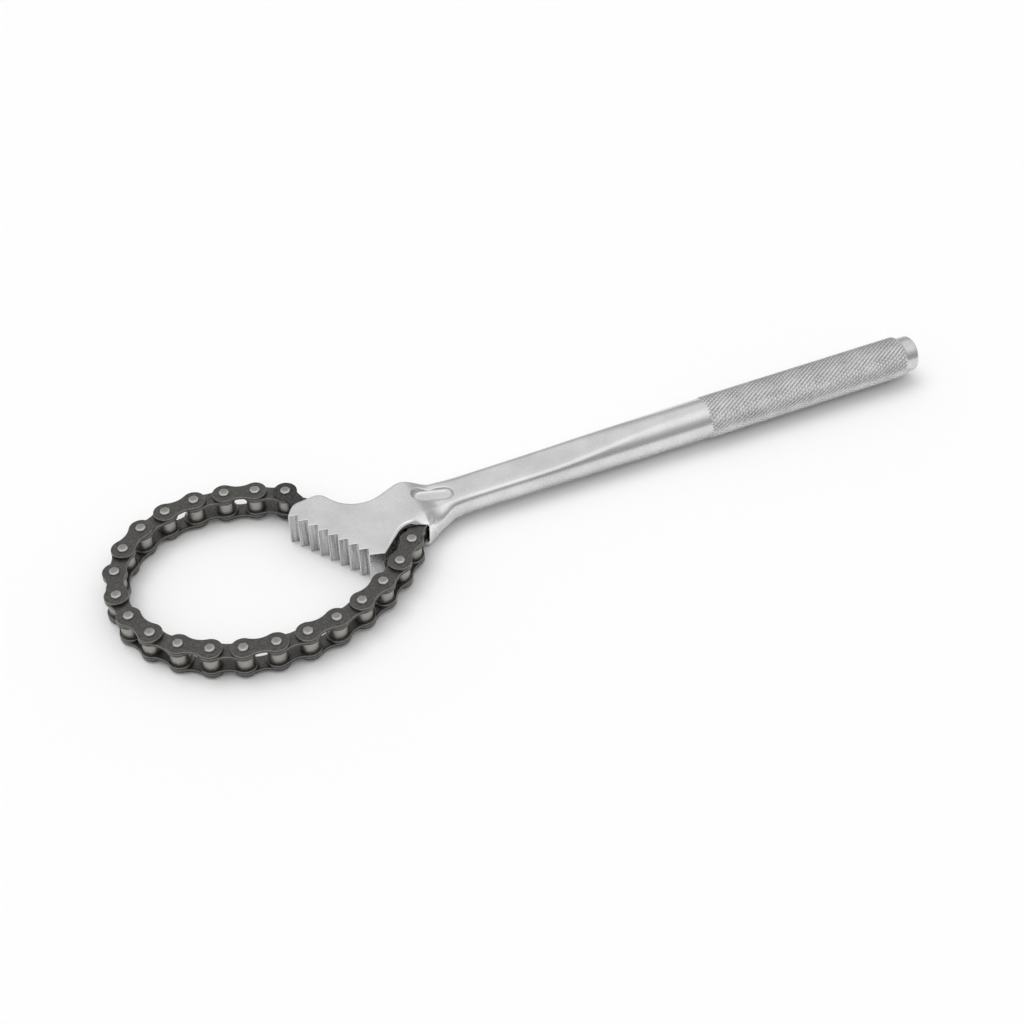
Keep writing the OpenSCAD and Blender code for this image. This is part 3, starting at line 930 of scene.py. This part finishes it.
# The four metals
# The plated steel's worn colour also paints the highlight on the rim over the heel's slot
PLATED = metal(
    "plated_steel", dull=(0.72, 0.72, 0.73), bright=(0.78, 0.78, 0.79), worn_and_highlight=(0.95, 0.95, 0.95),
    metallic=1.0, rough=0.27, grain=1400, bump=0.05,
)
# The dark steel's worn colour also paints the highlight on the chain plates' edges
OXIDE = metal(
    "dark_steel", dull=(0.022, 0.021, 0.019), bright=(0.105, 0.102, 0.095), worn_and_highlight=(0.30, 0.295, 0.28),
    metallic=0.7, rough=0.38, grain=1000, bump=0.4,
)
ROLLED = metal(
    "roller_steel", dull=(0.24, 0.23, 0.215), bright=(0.40, 0.385, 0.36), worn_and_highlight=(0.5, 0.49, 0.46),
    metallic=0.9, rough=0.36, grain=1800, bump=0.1,
)
RIVETED = metal(
    "pin_steel", dull=(0.24, 0.235, 0.225), bright=(0.44, 0.43, 0.41), worn_and_highlight=(0.72, 0.71, 0.69),
    metallic=0.95, rough=0.34, grain=2600, bump=0.2,
)


def place_handle():
    """The forged handle's skin, and the metal of the hook pin, which keeps its CAD shape."""
    mesh = solid("forged_handle_skin", [head_and_shank(), grip_and_butt()], PLATED, SMOOTH_ALL)
    place_piece("forged_handle_skin", mesh, Matrix.Identity(4), "forged_handle", "handle")
    hook_pin = frame["nodes"]["hook_pin"].data
    hook_pin.materials.clear()
    hook_pin.materials.append(RIVETED)


def chain_pins():
    """Places of the chain's pins, from the heel to the hook link."""
    joints = {joint["name"]: joint for joint in frame["joints"]}
    names = [f"link_joint_{n:02d}" for n in range(1, LINK_JOINTS + 1)] + ["hook_joint"]
    return [Vector(joints[name]["pos_m"]) for name in names]


def link_matrix(pins, i):
    """Place of the link that starts at pin i, along the way to the next pin."""
    way = pins[i + 1] - pins[i]
    return Matrix.Translation(pins[i]) @ Matrix.Rotation(math.atan2(way.y, way.x), 4, "Z")


def place_anchor_pin(pins):
    """The pin that holds the chain's fixed end in the heel."""
    mesh = solid("anchor_pin", [anchor_pin()], RIVETED)
    place = Matrix.Translation(pins[0])
    place_piece("anchor_pin_skin", mesh, place, "forged_handle", "anchor_pin")


def place_links(pins):
    """Inner links with their bushes, and outer links with their pins, counted from the heel."""
    bushes = [tube(BUSH_R, BUSH_BORE, INNER_GAP / 2 + PLATE_T, BUSH_EDGE, x) for x in LINK_ENDS]
    inner = solid("inner_link", plate_pair(INNER_GAP, BUSH_R + SNUG) + bushes, OXIDE)
    outer = solid("outer_link", plate_pair(OUTER_GAP, PIN_R + SNUG), OXIDE)
    rivets = solid("link_pins", [rivet(x) for x in LINK_ENDS], RIVETED)
    for k in range(1, INNER_LINKS + 1):
        node = f"inner_link_{k:02d}"
        place_piece(node + "_skin", inner, link_matrix(pins, 2 * k - 2), node, node)
    for k in range(1, OUTER_LINKS + 1):
        body, node = f"outer_link_{k:02d}", f"link_pins_{k:02d}"
        place_piece(body + "_skin", outer, link_matrix(pins, 2 * k - 1), body, body)
        place_piece(node + "_skin", rivets, link_matrix(pins, 2 * k - 1), body, node)


def place_rollers(pins):
    """One roller at each pin."""
    mesh = solid("roller", [tube(ROLLER_R, ROLLER_BORE, ROLLER_HALF, ROLLER_EDGE)], ROLLED)
    for k in range(1, ROLLERS + 1):
        node = f"roller_{k:02d}"
        place_piece(node + "_skin", mesh, Matrix.Translation(pins[k - 1]), node, node)


def place_hook_link_pin(pins):
    """The pin that holds the hook link on the chain's free end."""
    mesh = solid("hook_link_pin", [rivet()], RIVETED)
    place = Matrix.Translation(pins[-1])
    place_piece("hook_link_pin_skin", mesh, place, "hook_link", "hook_link_pin")


def place_hook_link():
    """The forked end link: its CAD shape with rounded edges."""
    mesh = frame["nodes"]["hook_link"].data.copy()
    mesh.materials.clear()
    mesh.materials.append(OXIDE)
    piece = place_piece("hook_link_skin", mesh, Matrix.Identity(4), "hook_link", "hook_link")
    bevel = piece.modifiers.new("rounded_edges", "BEVEL")
    bevel.width = PLATE_EDGE * MM
    bevel.segments = BEVEL_SEGMENTS
    bevel.limit_method = "ANGLE"
    bevel.angle_limit = math.radians(BEVEL_ANGLE)


place_handle()
pin_places = chain_pins()
place_anchor_pin(pin_places)
place_links(pin_places)
place_rollers(pin_places)
place_hook_link_pin(pin_places)
place_hook_link()
studio()
camera()
